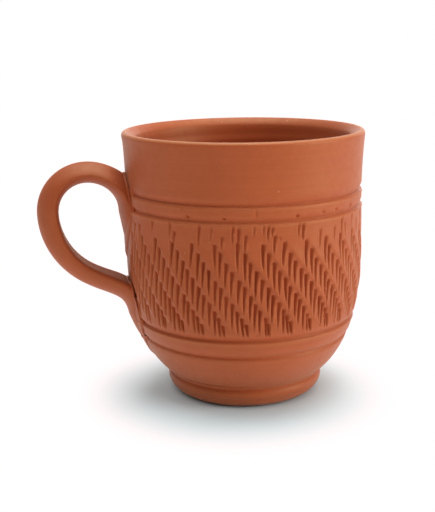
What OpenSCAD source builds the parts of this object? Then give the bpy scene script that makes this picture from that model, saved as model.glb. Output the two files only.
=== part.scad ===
// Unglazed clay cup with a pulled handle: a thrown wall on a luted foot,
// with a collar, a cordon between turned grooves, a carved band and a rounded bowl.
// Millimetres, +Z up. The origin is the centre of the foot's underside, and the handle points to -X.

/* [Cup] */
// Height of the cup above the table
cup_h = 93; // [88:1:104]
// Outside diameter at the rim
rim_d = 84; // [80:1:92]
// Outside diameter at the belly, where the wall stands upright
belly_d = 83; // [79:0.5:89]
// Height of the belly
belly_z = 49; // [45:1:54]
// Radius of the long curve below the belly
belly_curve_r = 94; // [85:1:110]
// Lean of the wall where the long curve runs into the bowl, in degrees
bowl_lean = 14; // [11:0.5:17]
// How far the bowl draws in from the belly to its base
bowl_draw = 16.55; // [13:0.05:20]
// How much the neck draws in above the belly
neck_draw = 0.3; // [0:0.1:1.5]

/* [Wall] */
// Thickness of the wall at the lip
wall_t = 4.2; // [3.4:0.1:5]
// Thickness of the wall at the belly
belly_t = 4.6; // [3.6:0.1:5.6]
// Thickness of the floor
floor_t = 4.5; // [3.5:0.1:6]
// Radius of the inside curve from the floor to the wall
inside_r = 20; // [17:0.5:23]
// Radius of the lip's outer edge
lip_outer_r = 1.6; // [1:0.1:2.2]

/* [Turned grooves] */
// Height of the groove under the collar
collar_groove_z = 73.3; // [72:0.1:76]
// Height of the groove under the cordon
cordon_groove_z = 68.1; // [66:0.1:70]
// Height of the groove under the carved band
band_groove_z = 28.4; // [27:0.1:31]
// Height of the groove on the bowl
bowl_groove_z = 21.8; // [19:0.1:24]
// Radius of the tool's tip
groove_tip_r = 1; // [0.8:0.1:1.4]
// Depth of a groove
groove_depth = 0.75; // [0.4:0.05:1]

/* [Carved band] */
// Number of diagonal furrows round the band
furrow_count = 34; // [28:1:38]
// Height at which a furrow runs out at its upper end
furrow_high_z = 66.4; // [62:0.1:67]
// Height at which a furrow runs out at its lower end
furrow_low_z = 30.6; // [30:0.1:36]
// Lean of a furrow from upright, in degrees
furrow_lean = 35; // [25:1:45]
// Depth of a furrow in its middle
furrow_depth = 0.5; // [0.3:0.05:0.8]
// Width of a furrow across its middle
furrow_w = 4.2; // [3:0.1:5]
// Plain wall left on each side of the handle's roots
furrow_margin = 1.5; // [0.5:0.5:4]

/* [Foot] */
// How far the foot stands out past the base of the bowl
foot_out = 2.65; // [1.4:0.05:5]
// Height of the foot
foot_h = 6.2; // [5:0.1:8]
// Radius of the rounding down to the table
foot_round = 5.6; // [3:0.1:6]
// Radius of the foot's upper edge
foot_edge_r = 0.6; // [0.3:0.1:1]

/* [Handle] */
// Room for the fingers, from the wall to the far side of the loop
grip_room = 23; // [20:0.5:28]
// Thickness of the strap
strap_t = 7.3; // [6:0.1:9]
// Thickness of the strap from the long lower curve to its root
heel_t = 6.7; // [5.6:0.1:8]
// Width of the strap
strap_w = 12; // [10:0.5:16]
// Height of the centre of the top bend
crown_z = 66.6; // [63:0.2:69]
// Inside radius of the top bend
crown_r = 9.8; // [9:0.1:10.6]
// Inside radius of the long lower curve
heel_r = 22; // [20:0.5:24]
// How far the lower curve runs on before it turns into the root, in degrees
heel_turn = 60; // [54:1:64]
// Height at which the lower root runs along the wall
lower_root_z = 30; // [28:0.5:32]
// Width of the wiped roots
root_w = 17.5; // [15:0.5:20]
// How far the upper root stands proud of the wall where its tail starts
upper_proud = 2.6; // [1.8:0.1:3]
// How far the lower root stands proud of the wall where its tail starts
lower_proud = 2.1; // [1.4:0.1:2.6]
// Height of the tip of the upper wiped tail
upper_tail_z = 52; // [48:1:56]
// Height of the tip of the lower wiped tail
lower_tail_z = 15.5; // [13:0.5:19]
// Width of a tail at its tip
tail_tip_w = 9; // [6:0.5:12]

/* [Slip] */
// Thickness of the slip in the joints
slip_t = 0.4; // [0.3:0.05:0.8]
// How far the slip shows round a root of the handle
slip_margin = 0.7; // [0.4:0.1:1.2]

/* [Hidden] */

clay = [0.67, 0.36, 0.24];
dark_clay = [0.60, 0.31, 0.20];
slip_clay = [0.55, 0.27, 0.17];

$fn = 120;

// Levels and radii of the cup
base_z = foot_h + slip_t;
floor_z = base_z + floor_t;
rim_r = rim_d / 2;
belly_rad = belly_d / 2;
neck_r = belly_rad - neck_draw;
neck_z = collar_groove_z;
rim_z = cup_h - lip_outer_r;
lip_inner_r = wall_t - lip_outer_r;
lip_crest_r = rim_r - lip_outer_r;
lip_inside_z = cup_h - lip_inner_r;

// Radius of the bowl's base, which the foot carries
seat_r = belly_rad - bowl_draw;

// The long curve below the belly runs into the bowl's curve, which ends on the base
belly_c_r = belly_rad - belly_curve_r;
join_way = [cos(bowl_lean), -sin(bowl_lean)];
join = [belly_c_r, belly_z] + belly_curve_r * join_way;
join_z = join[1];
base_chord = [seat_r, base_z] - join;
bowl_r = -(base_chord * base_chord) / (2 * base_chord * join_way);
bowl_c_r = join[0] - bowl_r * join_way[0];
bowl_c_z = join_z - bowl_r * join_way[1];

// Steps along the curves
curve_steps = 18;
neck_steps = 8;
lip_steps = 8;

// Radius of the wall above the belly: it draws in to the neck and flares to the rim
function upper_r(z) =
    z < neck_z
    ? belly_rad - neck_draw * pow((z - belly_z) / (neck_z - belly_z), 2)
    : neck_r + (rim_r - neck_r) * pow((z - neck_z) / (rim_z - neck_z), 2);

// Outside radius of the wall at a height, with an even skin added
function wall_r(z, skin = 0) =
    z >= belly_z
    ? upper_r(z) + skin
    : z >= join_z - skin * sin(bowl_lean)
    ? belly_c_r + sqrt(pow(belly_curve_r + skin, 2) - pow(z - belly_z, 2))
    : bowl_c_r + sqrt(pow(bowl_r + skin, 2) - pow(z - bowl_c_z, 2));

// Outward direction of the wall at a height, as [radial, vertical]
function wall_normal(z) =
    z >= belly_z
    ? [1, 0]
    : z >= join_z
    ? [wall_r(z) - belly_c_r, z - belly_z] / belly_curve_r
    : [wall_r(z) - bowl_c_r, z - bowl_c_z] / bowl_r;

function wall_point(z, depth = 0) = [wall_r(z), z] - depth * wall_normal(z);

// Points of an arc between two angles; first = 1 leaves out the start, where another stretch ends
function arc(centre, r, from, to, steps, first = 0) =
    [for (i = [first:steps]) let (a = from + (to - from) * i / steps) centre + r * [cos(a), sin(a)]];

// Outline of the wall from the base up to the rim
function wall_outline(skin = 0) =
    let (base_angle = asin((base_z - bowl_c_z) / (bowl_r + skin)))
    concat(
        arc([bowl_c_r, bowl_c_z], bowl_r + skin, base_angle, -bowl_lean, curve_steps),
        arc([belly_c_r, belly_z], belly_curve_r + skin, -bowl_lean, 0, curve_steps, 1),
        [for (i = [1:neck_steps]) let (z = belly_z + (neck_z - belly_z) * i / neck_steps) [upper_r(z) + skin, z]],
        [for (i = [1:neck_steps]) let (z = neck_z + (rim_z - neck_z) * i / neck_steps) [upper_r(z) + skin, z]]
    );

// Lip from its outer edge over the crest to the inside
function lip_outline() = concat(
    arc([lip_crest_r, rim_z], lip_outer_r, 0, 90, lip_steps, 1),
    arc([lip_crest_r, lip_inside_z], lip_inner_r, 90, 180, lip_steps, 1)
);

// Inside radius from the belly up: the wall thins evenly towards the lip
function hollow_r(z) = upper_r(z) - belly_t - (wall_t - belly_t) * (z - belly_z) / (rim_z - belly_z);

// The inside keeps the belly's thickness down to a round corner that runs flat on to the floor
inside_curve_r = belly_curve_r - belly_t;
inside_lean = asin((belly_z - floor_z - inside_r) / (inside_curve_r - inside_r));
inside_c_r = belly_c_r + (inside_curve_r - inside_r) * cos(inside_lean);

// Inside of the cup, down the wall and round to the middle of the floor
inside_outline = concat(
    [for (i = [1:neck_steps]) let (z = lip_inside_z - (lip_inside_z - neck_z) * i / neck_steps) [hollow_r(z), z]],
    [for (i = [1:neck_steps]) let (z = neck_z - (neck_z - belly_z) * i / neck_steps) [hollow_r(z), z]],
    arc([belly_c_r, belly_z], inside_curve_r, 0, -inside_lean, curve_steps, 1),
    arc([inside_c_r, floor_z + inside_r], inside_r, -inside_lean, -90, curve_steps, 1),
    [[0, floor_z]]
);

// Solid of the wall's outside, filled, with an even skin added
module wall_solid(skin = 0) {
    rotate_extrude()
        polygon(concat([[0, base_z]], wall_outline(skin), [[0, rim_z]]));
}

// Ring cut by a round tool tip at a height of the wall
module turned_groove(z) {
    centre = wall_point(z, groove_depth - groove_tip_r);
    rotate_extrude()
        translate(centre)
            circle(groove_tip_r, $fn = 32);
}

module turned_grooves() {
    for (z = [collar_groove_z, cordon_groove_z, band_groove_z, bowl_groove_z])
        turned_groove(z);
}

// Half thicknesses of the strap
half_t = strap_t / 2;
half_heel_t = heel_t / 2;
// How deep the tip of a tail lies under the wall's face
tip_cover = 0.35;
// Depth of the strap's middle line in the wall at each root and tip
upper_sink = half_t - upper_proud;
lower_sink = half_heel_t - lower_proud;
upper_tip_sink = half_t + tip_cover;
lower_tip_sink = half_heel_t + tip_cover;

crown_mid_r = crown_r + half_t;
heel_mid_r = heel_r + half_t;
loop_far = wall_r(crown_z) + grip_room;
crown_d = loop_far - crown_r;
heel_d = loop_far - heel_r;
crown_near = crown_d - wall_r(crown_z) + upper_sink;

tail_steps = 8;
crown_steps = 13;
heel_steps = 12;
root_steps = 10;

function bezier(p, t) =
    pow(1 - t, 3) * p[0] + 3 * t * pow(1 - t, 2) * p[1] + 3 * t * t * (1 - t) * p[2] + pow(t, 3) * p[3];

// Path of the handle's middle line, as points [distance from the axis, height]
heel_end = [heel_d, crown_z] + heel_mid_r * [cos(heel_turn), -sin(heel_turn)];
heel_way = [-sin(heel_turn), -cos(heel_turn)];
root_end = wall_point(lower_root_z, lower_sink);
root_way = [wall_normal(lower_root_z)[1], -wall_normal(lower_root_z)[0]];
root_reach = norm(heel_end - root_end);
// Share of the reach that each end of the reverse bend runs straight on
root_pull = 0.46;
root_bend = [heel_end, heel_end + root_pull * root_reach * heel_way,
             root_end - root_pull * root_reach * root_way, root_end];

upper_tail = [for (i = [0:tail_steps - 1]) let (u = 1 - i / tail_steps)
    wall_point(crown_z - (crown_z - upper_tail_z) * u, upper_sink + (upper_tip_sink - upper_sink) * u)];
near_quarter = [for (i = [0:crown_steps - 1]) let (a = 180 - 90 * i / crown_steps)
    [crown_d + crown_near * cos(a), crown_z + crown_mid_r * sin(a)]];
far_quarter = [for (i = [0:crown_steps - 1]) let (a = 90 - 90 * i / crown_steps)
    [crown_d + crown_mid_r * cos(a), crown_z + crown_mid_r * sin(a)]];
heel = [for (i = [0:heel_steps - 1]) let (a = -heel_turn * i / heel_steps)
    [heel_d + heel_mid_r * cos(a), crown_z + heel_mid_r * sin(a)]];
lower_root = [for (i = [0:root_steps - 1]) bezier(root_bend, i / root_steps)];
lower_tail = [for (i = [0:tail_steps]) let (u = i / tail_steps)
    wall_point(lower_root_z - (lower_root_z - lower_tail_z) * u, lower_sink + (lower_tip_sink - lower_sink) * u)];

path = concat(upper_tail, near_quarter, far_quarter, heel, lower_root, lower_tail);
last = len(path) - 1;
heel_first = tail_steps + 2 * crown_steps;
// Stations that bound the stretch of strap over each patch of slip
upper_root_share = 0.6;
lower_root_share = 0.8;
upper_root_last = tail_steps + round(crown_steps * upper_root_share);
lower_root_first = last - tail_steps - round(root_steps * lower_root_share);

function ease(u) = let (c = min(1, max(0, u))) c * c * (3 - 2 * c);

// Width of the strap at a station: it spreads at the roots and narrows to the tips of the tails
function station_w(i) =
    let (
        up = tail_steps,
        low = last - tail_steps,
        tip = i < up ? 1 - i / up : i > low ? (i - low) / tail_steps : 0,
        near = i < up || i > low ? 1 : max(ease(1 - (i - up) / crown_steps), ease(1 - (low - i) / root_steps))
    )
    strap_w + (root_w - strap_w) * near - (root_w - tail_tip_w) * pow(tip, 2);

// Half the thickness of the strap at a station
function station_half_t(i) = half_t + (half_heel_t - half_t) * ease((i - heel_first) / heel_steps);

function station_way(i) =
    let (d = path[min(last, i + 1)] - path[max(0, i - 1)]) d / norm(d);

// The strap's section is a lens with soft edges
section_points = 24;
section_power = 1.2;
function soft(v) = sign(v) * pow(abs(v), section_power);

function station_ring(i, grow) =
    let (way = station_way(i), out = [-way[1], way[0]], half_w = station_w(i) / 2 + grow)
    [for (k = [0:section_points - 1])
        let (
            a = 360 * k / section_points,
            across = half_w * soft(cos(a)),
            p = path[i] + (station_half_t(i) + grow) * soft(sin(a)) * out
        )
        [-p[0], across, p[1]]];

// Strap lofted through the stations from first to final
module strap(first = 0, final = last, grow = 0) {
    n = section_points;
    count = final - first;
    points = [for (i = [first:final]) each station_ring(i, grow)];
    sides = [for (i = [0:count - 1], k = [0:n - 1]) let (a = i * n + k, b = i * n + (k + 1) % n)
        each [[a, b, b + n], [a, b + n, a + n]]];
    start_cap = [for (k = [1:n - 2]) [0, k + 1, k]];
    end_cap = [for (k = [1:n - 2]) [count * n, count * n + k, count * n + k + 1]];
    polyhedron(points, concat(sides, start_cap, end_cap), convexity = 6);
}

// Skin of slip on the wall under a root, which also fills the grooves there
module root_slip(first, final) {
    difference() {
        intersection() {
            strap(first, final, slip_margin);
            wall_solid(slip_t);
        }
        difference() {
            wall_solid();
            turned_grooves();
        }
    }
}

// A furrow follows the bulge of the wall along a leaning line, a little flatter, so that both its ends run out
furrow_half = (furrow_high_z - furrow_low_z) / 2 / cos(furrow_lean);
furrow_mid_z = (furrow_high_z + furrow_low_z) / 2;
// Distance of the wall from the axis where a furrow runs out, seen square to its middle
function furrow_end_d(z) = sqrt(pow(wall_r(z), 2) - pow(furrow_half * sin(furrow_lean), 2));
furrow_chord_d = (furrow_end_d(furrow_high_z) + furrow_end_d(furrow_low_z)) / 2;
furrow_tilt = atan((furrow_end_d(furrow_high_z) - furrow_end_d(furrow_low_z)) / (2 * furrow_half));
furrow_rise = wall_r(furrow_mid_z) - furrow_depth - furrow_chord_d;
furrow_bend_r = (pow(furrow_half, 2) + pow(furrow_rise, 2)) / (2 * furrow_rise);
furrow_span = asin(furrow_half / furrow_bend_r);
// Radius of the round section that gives the width at the depth
furrow_tool_r = (pow(furrow_w / 2, 2) + pow(furrow_depth, 2)) / (2 * furrow_depth);
// How far the cutting edge reaches out past the wall
furrow_over = 0.5;
// How far it sweeps past both ends, as a share of the furrow's own span
furrow_run = 1.12;

// Cutting edge of the tool: the tip of a large circle
module furrow_section() {
    intersection() {
        translate([furrow_tool_r, 0])
            circle(furrow_tool_r, $fn = 180);
        translate([0, -furrow_w])
            square([furrow_depth + furrow_over, 2 * furrow_w]);
    }
}

// One furrow, on the +X side
module furrow() {
    translate([furrow_chord_d, 0, furrow_mid_z])
        rotate([furrow_lean, 0, 0])
            rotate([0, furrow_tilt, 0])
                translate([furrow_rise - furrow_bend_r, 0, 0])
                    rotate([90, 0, 0])
                        rotate(-furrow_span * furrow_run)
                            rotate_extrude(angle = 2 * furrow_span * furrow_run, $fn = 360)
                                translate([furrow_bend_r, 0])
                                    furrow_section();
}

// Diagonal furrows all round, but for the plain wall about the handle's roots
module band_furrows() {
    plain_w = root_w + 2 * (slip_margin + furrow_margin);
    difference() {
        for (i = [0:furrow_count - 1])
            rotate(360 * i / furrow_count)
                furrow();
        translate([-rim_d, -plain_w / 2, 0])
            cube([rim_d, plain_w, cup_h]);
    }
}

// Thrown wall and floor with its turned grooves and carved band
module cup_body() {
    color(clay)
        difference() {
            rotate_extrude()
                polygon(concat([[0, base_z]], wall_outline(), lip_outline(), inside_outline));
            turned_grooves();
            band_furrows();
        }
}

// Solid foot with a flat underside
module foot_disc() {
    foot_r = seat_r + foot_out;
    turn_r = min(foot_round, foot_h - foot_edge_r);
    color(clay)
        rotate_extrude()
            polygon(concat(
                [[0, 0]],
                arc([foot_r - turn_r, turn_r], turn_r, -90, 0, curve_steps),
                arc([foot_r - foot_edge_r, foot_h - foot_edge_r], foot_edge_r, 0, 90, lip_steps),
                [[0, foot_h]]
            ));
}

// Slip between the foot and the bowl, squeezed out to a small bead in the crease
module foot_slip() {
    bead = 2 * slip_t;
    color(slip_clay)
        rotate_extrude()
            polygon(concat(
                [[0, foot_h], [seat_r, foot_h]],
                [for (i = [0:lip_steps]) let (a = 90 * i / lip_steps) [seat_r + bead * cos(a), foot_h + slip_t * sin(a)]],
                [[0, base_z]]
            ));
}

// Pulled strap, luted to the wall at both roots and wiped down into tails
module handle() {
    color(dark_clay)
        difference() {
            strap();
            wall_solid(slip_t);
        }
}

module upper_handle_slip() {
    color(slip_clay) root_slip(0, upper_root_last);
}

module lower_handle_slip() {
    color(slip_clay) root_slip(lower_root_first, last);
}

cup_body();
foot_disc();
foot_slip();
handle();
upper_handle_slip();
lower_handle_slip();
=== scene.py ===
from math import asin, ceil, cos, degrees, floor, hypot, pi, sin, tan

import bmesh
import bpy
import numpy as np
from mathutils import Matrix, Vector


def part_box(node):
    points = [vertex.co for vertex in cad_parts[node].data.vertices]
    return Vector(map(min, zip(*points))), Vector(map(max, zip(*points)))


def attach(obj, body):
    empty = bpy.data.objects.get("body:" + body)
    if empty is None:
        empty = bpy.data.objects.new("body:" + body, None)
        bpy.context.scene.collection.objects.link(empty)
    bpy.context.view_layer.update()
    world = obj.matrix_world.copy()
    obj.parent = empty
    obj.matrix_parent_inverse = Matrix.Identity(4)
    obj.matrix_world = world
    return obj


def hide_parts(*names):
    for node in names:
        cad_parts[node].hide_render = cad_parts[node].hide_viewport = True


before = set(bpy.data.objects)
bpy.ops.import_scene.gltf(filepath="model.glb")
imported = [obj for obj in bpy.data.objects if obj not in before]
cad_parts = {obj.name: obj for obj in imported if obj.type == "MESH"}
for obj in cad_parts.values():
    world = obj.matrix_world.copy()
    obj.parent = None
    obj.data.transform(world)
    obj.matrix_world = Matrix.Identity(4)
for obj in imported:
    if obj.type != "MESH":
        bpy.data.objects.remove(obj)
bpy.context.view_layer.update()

# Unglazed clay cup with a pulled handle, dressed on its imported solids.
# Metres, +Z up, the handle points to -X. Angles run round the axis from +X.
MM = 0.001
DEG = pi / 180
BODY = "root"

# Levels and radii that the solids give
cup_low, cup_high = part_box("cup_body")
foot_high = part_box("foot_disc")[1]
CUP_H = cup_high.z
RIM_R = cup_high.x
BASE_Z = cup_low.z
FOOT_H = foot_high.z
FOOT_R = foot_high.x
SLIP_T = BASE_Z - FOOT_H

# Wall of the cup, as in the part's source
BELLY_R = 41.5 * MM
BELLY_Z = 49 * MM
BELLY_CURVE_R = 94 * MM
BOWL_LEAN = 14 * DEG
BOWL_DRAW = 16.55 * MM
NECK_DRAW = 0.3 * MM
WALL_T = 4.2 * MM
BELLY_T = 4.6 * MM
FLOOR_T = 4.5 * MM
INSIDE_R = 20 * MM
LIP_OUTER_R = 1.6 * MM
COLLAR_GROOVE_Z = 73.3 * MM
CORDON_GROOVE_Z = 68.1 * MM
BAND_GROOVE_Z = 28.4 * MM
BOWL_GROOVE_Z = 21.8 * MM
GROOVES = (COLLAR_GROOVE_Z, CORDON_GROOVE_Z, BAND_GROOVE_Z, BOWL_GROOVE_Z)

# Turned grooves as the tool left them: depth, drop of the bottom, both walls and the lip thrown up below
GROOVE_DEPTH = 0.92 * MM
GROOVE_DROP = 0.2 * MM
GROOVE_UPPER = 2.1 * MM
GROOVE_LOWER = 0.7 * MM
GROOVE_CURVE = 1.2
GROOVE_LIP = 0.16 * MM
GROOVE_LIP_W = 0.4 * MM

# The mesh has closer rows between these two distances from a groove's middle
CLOSE_BELOW = -1.3 * MM
CLOSE_ABOVE = 1.6 * MM

# How much fuller the bowl is at its seat, and how far up
FULL_T = 0.85 * MM
FULL_H = 15 * MM

# How far the fired wall stands inside the plain curve
SETTLE = 0.09 * MM

# What follows from these sizes
RIM_Z = CUP_H - LIP_OUTER_R
LIP_INNER_R = WALL_T - LIP_OUTER_R
LIP_CREST_R = RIM_R - LIP_OUTER_R
LIP_INSIDE_Z = CUP_H - LIP_INNER_R
FLOOR_Z = BASE_Z + FLOOR_T
NECK_R = BELLY_R - NECK_DRAW
NECK_Z = COLLAR_GROOVE_Z
SEAT_R = BELLY_R - BOWL_DRAW

# Centres of the curves below the belly, outside and inside
BELLY_C_R = BELLY_R - BELLY_CURVE_R
JOIN_R = BELLY_C_R + BELLY_CURVE_R * cos(BOWL_LEAN)
JOIN_Z = BELLY_Z - BELLY_CURVE_R * sin(BOWL_LEAN)
CHORD_R = SEAT_R - JOIN_R
CHORD_Z = BASE_Z - JOIN_Z
CHORD_OUT = CHORD_R * cos(BOWL_LEAN) - CHORD_Z * sin(BOWL_LEAN)
BOWL_R = -(CHORD_R ** 2 + CHORD_Z ** 2) / (2 * CHORD_OUT)
BOWL_C_R = JOIN_R - BOWL_R * cos(BOWL_LEAN)
BOWL_C_Z = JOIN_Z + BOWL_R * sin(BOWL_LEAN)
INSIDE_CURVE_R = BELLY_CURVE_R - BELLY_T
INSIDE_LEAN = asin((BELLY_Z - FLOOR_Z - INSIDE_R) / (INSIDE_CURVE_R - INSIDE_R))
INSIDE_C_R = BELLY_C_R + (INSIDE_CURVE_R - INSIDE_R) * cos(INSIDE_LEAN)


def ease(value):
    """Smooth step from 0 to 1."""
    c = np.clip(value, 0, 1)
    return c * c * (3 - 2 * c)


def rises(value, start, over):
    """0 up to a start, then a smooth step to 1 over a distance."""
    return ease((value - start) / over)


def falls(value, end, over):
    """Smooth step from 1 to 0 over the distance before an end."""
    return ease((end - value) / over)


def upper_radius(z):
    """Wall above the belly: it draws in to the neck and flares to the rim."""
    low = BELLY_R - NECK_DRAW * ((z - BELLY_Z) / (NECK_Z - BELLY_Z)) ** 2
    high = NECK_R + (RIM_R - NECK_R) * ((z - NECK_Z) / (RIM_Z - NECK_Z)) ** 2
    return np.where(z < NECK_Z, low, high)


def wall_radius(z):
    """Outside radius of the plain wall at a height."""
    z = np.asarray(z, float)
    long_curve = BELLY_C_R + np.sqrt(np.maximum(BELLY_CURVE_R ** 2 - (z - BELLY_Z) ** 2, 0))
    bowl = BOWL_C_R + np.sqrt(np.maximum(BOWL_R ** 2 - (z - BOWL_C_Z) ** 2, 0))
    return np.where(z >= BELLY_Z, upper_radius(z), np.where(z >= JOIN_Z, long_curve, bowl))


def fuller(z):
    """How far the bowl stands out beyond the plain wall above its seat."""
    return FULL_T * ease(1 - (z - BASE_Z) / FULL_H)


def wall_normal(z):
    """Outward direction of the plain wall at a height, as radial and vertical parts."""
    step = 0.05 * MM
    slope = (wall_radius(z + step) - wall_radius(z - step)) / (2 * step)
    size = np.sqrt(1 + slope ** 2)
    return 1 / size, -slope / size


def groove_cut(z):
    """Depth of the turned grooves: a long upper slope, a short lower wall and a soft lip raised under it."""
    cut = np.zeros_like(z)
    for middle in GROOVES:
        off = z - middle + GROOVE_DROP
        slope = np.where(off > 0, 1 - off / GROOVE_UPPER, 1 + off / GROOVE_LOWER)
        cut += GROOVE_DEPTH * np.maximum(slope, 0) ** np.where(off > 0, GROOVE_CURVE, 1)
        cut -= GROOVE_LIP * np.exp(-((off + GROOVE_LOWER + GROOVE_LIP_W) / GROOVE_LIP_W) ** 2)
    return cut


def arc(centre, radius, start, end, steps, first=0):
    """Points of an arc between two angles; first=1 leaves out the start."""
    angles = [start + (end - start) * i / steps for i in range(first, steps + 1)]
    return [(centre[0] + radius * cos(a), centre[1] + radius * sin(a)) for a in angles]


def soft_corner(centre, size, start, steps, power):
    """Points of a squared quarter round from a start angle, without the start itself."""
    a = start + 90 * DEG * np.arange(1, steps + 1) / steps
    way = np.column_stack([np.cos(a), np.sin(a)])
    return list(centre + size * np.sign(way) * np.abs(way) ** power)


def wall_rows(low, high, coarse, fine):
    """Heights from low to high, closer together in the turned grooves."""
    rows = [low]
    while rows[-1] < high - fine:
        close = any(CLOSE_BELOW < rows[-1] - g < CLOSE_ABOVE for g in GROOVES)
        rows.append(rows[-1] + (fine if close else coarse))
    return rows[:-1] + [high]


def wall_place(z, depth):
    """Radius and height of places at a depth in the plain wall."""
    part_r, part_z = wall_normal(z)
    return np.stack([wall_radius(z) - depth * part_r, z - depth * part_z], axis=-1)


def wall_points(rows):
    """Outline of the grooved wall through the given heights."""
    z = np.array(rows)
    return list(wall_place(z, groove_cut(z)))


# Modelling helpers
WELD_NEAR = 0.002 * MM
RING_NEAR = 0.01 * MM


def deselect_all():
    bpy.ops.object.select_all(action="DESELECT")


def make_active(piece):
    deselect_all()
    piece.select_set(True)
    bpy.context.view_layer.objects.active = piece


def turn_outwards():
    """Turns the faces of the mesh in edit mode outwards, and leaves edit mode."""
    bpy.ops.mesh.select_all(action="SELECT")
    bpy.ops.mesh.normals_make_consistent(inside=False)
    bpy.ops.object.mode_set(mode="OBJECT")


def extrude_outline(name, outline):
    """One vertex drawn along an outline of radius and height points, as an open line of edges."""
    deselect_all()
    bpy.ops.mesh.primitive_plane_add(size=MM)
    piece = bpy.context.object
    piece.name = name
    bpy.ops.object.mode_set(mode="EDIT")
    bpy.ops.mesh.select_all(action="SELECT")
    bpy.ops.mesh.merge(type="CENTER")
    place = Vector((0, 0, 0))
    for i, (radius, height) in enumerate(outline):
        move = Vector((radius, 0, height)) - place
        place += move
        if i:
            bpy.ops.mesh.extrude_vertices_move(TRANSFORM_OT_translate={"value": move})
        else:
            bpy.ops.transform.translate(value=move)
    return piece


def spin_outline(name, outline, steps):
    """An outline turned all the way round the axis."""
    piece = extrude_outline(name, outline)
    bpy.ops.mesh.select_all(action="SELECT")
    bpy.ops.mesh.spin(steps=steps, angle=2 * pi, center=(0, 0, 0), axis=(0, 0, 1))
    bpy.ops.mesh.select_all(action="SELECT")
    bpy.ops.mesh.remove_doubles(threshold=WELD_NEAR)
    bpy.ops.object.mode_set(mode="OBJECT")
    return piece


def spin_solid(name, outline, steps):
    """A closed outline turned all the way round the axis, with its faces pointing outwards."""
    piece = spin_outline(name, outline, steps)
    make_active(piece)
    bpy.ops.object.mode_set(mode="EDIT")
    turn_outwards()
    return piece


def join_strips(name, strips):
    make_active(strips[0])
    for strip in strips[1:]:
        strip.select_set(True)
    bpy.ops.object.join()
    piece = bpy.context.object
    piece.name = name
    return piece


def bridge_rings(piece, ring_pairs):
    """Bridges pairs of open rings, each ring named by its radius and height."""
    make_active(piece)
    bpy.ops.object.mode_set(mode="EDIT")
    bpy.ops.mesh.select_mode(type="EDGE")
    for pair in ring_pairs:
        bpy.ops.mesh.select_all(action="DESELECT")
        graph = bmesh.from_edit_mesh(piece.data)
        for edge in (edge for edge in graph.edges if edge.is_boundary):
            place = edge.verts[0].co
            radius = hypot(place.x, place.y)
            if any(abs(radius - r) < RING_NEAR and abs(place.z - h) < RING_NEAR for r, h in pair):
                edge.select = True
        bmesh.update_edit_mesh(piece.data)
        bpy.ops.mesh.bridge_edge_loops()
    bpy.ops.mesh.select_mode(type="VERT")
    turn_outwards()


def read_points(piece):
    points = np.empty(len(piece.data.vertices) * 3)
    piece.data.vertices.foreach_get("co", points)
    return points.reshape(-1, 3)


def write_points(piece, points):
    piece.data.vertices.foreach_set("co", points.ravel())
    piece.data.update()


def push_out(points, amount, radius):
    """Moves points away from the axis by an amount, given the radius that they started from."""
    points[:, :2] += (amount / np.maximum(radius, 1e-9))[:, None] * points[:, :2]


def add_mask(piece, name, values):
    """A value for each point that the clay's colour reads."""
    layer = piece.data.attributes.new(name, "FLOAT", "POINT")
    layer.data.foreach_set("value", np.asarray(values, np.float32))


def add_object(name, data):
    made = bpy.data.objects.new(name, data)
    bpy.context.scene.collection.objects.link(made)
    return made


def shade_smooth(piece):
    make_active(piece)
    bpy.ops.object.shade_smooth()


# Columns of the thrown body's bowl, band, cordon, collar and inside
COLUMNS = (240, 860, 480, 240, 96)

# Coarse and close rows of its strips, where strips meet, and power of the lip's two corners
BOWL_ROWS = (1.2 * MM, 0.24 * MM)
BAND_ROWS = (0.54 * MM, 0.54 * MM)
CORDON_ROWS = (0.55 * MM, 0.21 * MM)
COLLAR_ROWS = (1.1 * MM, 1.1 * MM)
INSIDE_ROWS = 44
FLOOR_RINGS = 6
INSIDE_GAP = 0.9 * MM
STRIP_GAP = 0.4 * MM
BAND_FROM_Z = 29.9 * MM
CORDON_FROM_Z = 67.2 * MM
COLLAR_FROM_Z = 75.2 * MM
LIP_EDGE_POWER = 0.72
LIP_INSIDE_POWER = 1.5


def body_strips():
    """The wall's outline in five strips: bowl, carved band, cordon, collar with the lip, and inside."""
    bowl, band, cordon, collar = (wall_points(wall_rows(low, high, *rows)) for low, high, rows in (
        (BASE_Z, BAND_FROM_Z - STRIP_GAP, BOWL_ROWS),
        (BAND_FROM_Z, CORDON_FROM_Z - STRIP_GAP, BAND_ROWS),
        (CORDON_FROM_Z, COLLAR_FROM_Z - STRIP_GAP, CORDON_ROWS),
        (COLLAR_FROM_Z, RIM_Z, COLLAR_ROWS),
    ))
    lip = soft_corner((LIP_CREST_R, RIM_Z), LIP_OUTER_R, 0, 12, LIP_EDGE_POWER)
    lip_inside = soft_corner((LIP_CREST_R, LIP_INSIDE_Z), LIP_INNER_R, 90 * DEG, 10, LIP_INSIDE_POWER)
    inside_z = np.linspace(LIP_INSIDE_Z - INSIDE_GAP, BELLY_Z, INSIDE_ROWS)
    thin = BELLY_T + (WALL_T - BELLY_T) * (inside_z - BELLY_Z) / (RIM_Z - BELLY_Z)
    inside = list(zip(upper_radius(inside_z) - thin, inside_z))
    inside += arc((BELLY_C_R, BELLY_Z), INSIDE_CURVE_R, 0, -INSIDE_LEAN, 12, 1)
    inside += arc((INSIDE_C_R, FLOOR_Z + INSIDE_R), INSIDE_R, -INSIDE_LEAN, -90 * DEG, 14, 1)
    floor_r = inside[-1][0]
    inside += [(floor_r * (1 - i / FLOOR_RINGS), FLOOR_Z) for i in range(1, FLOOR_RINGS + 1)]
    return [(0, BASE_Z)] + bowl, band, cordon, collar + lip + lip_inside, inside


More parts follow.
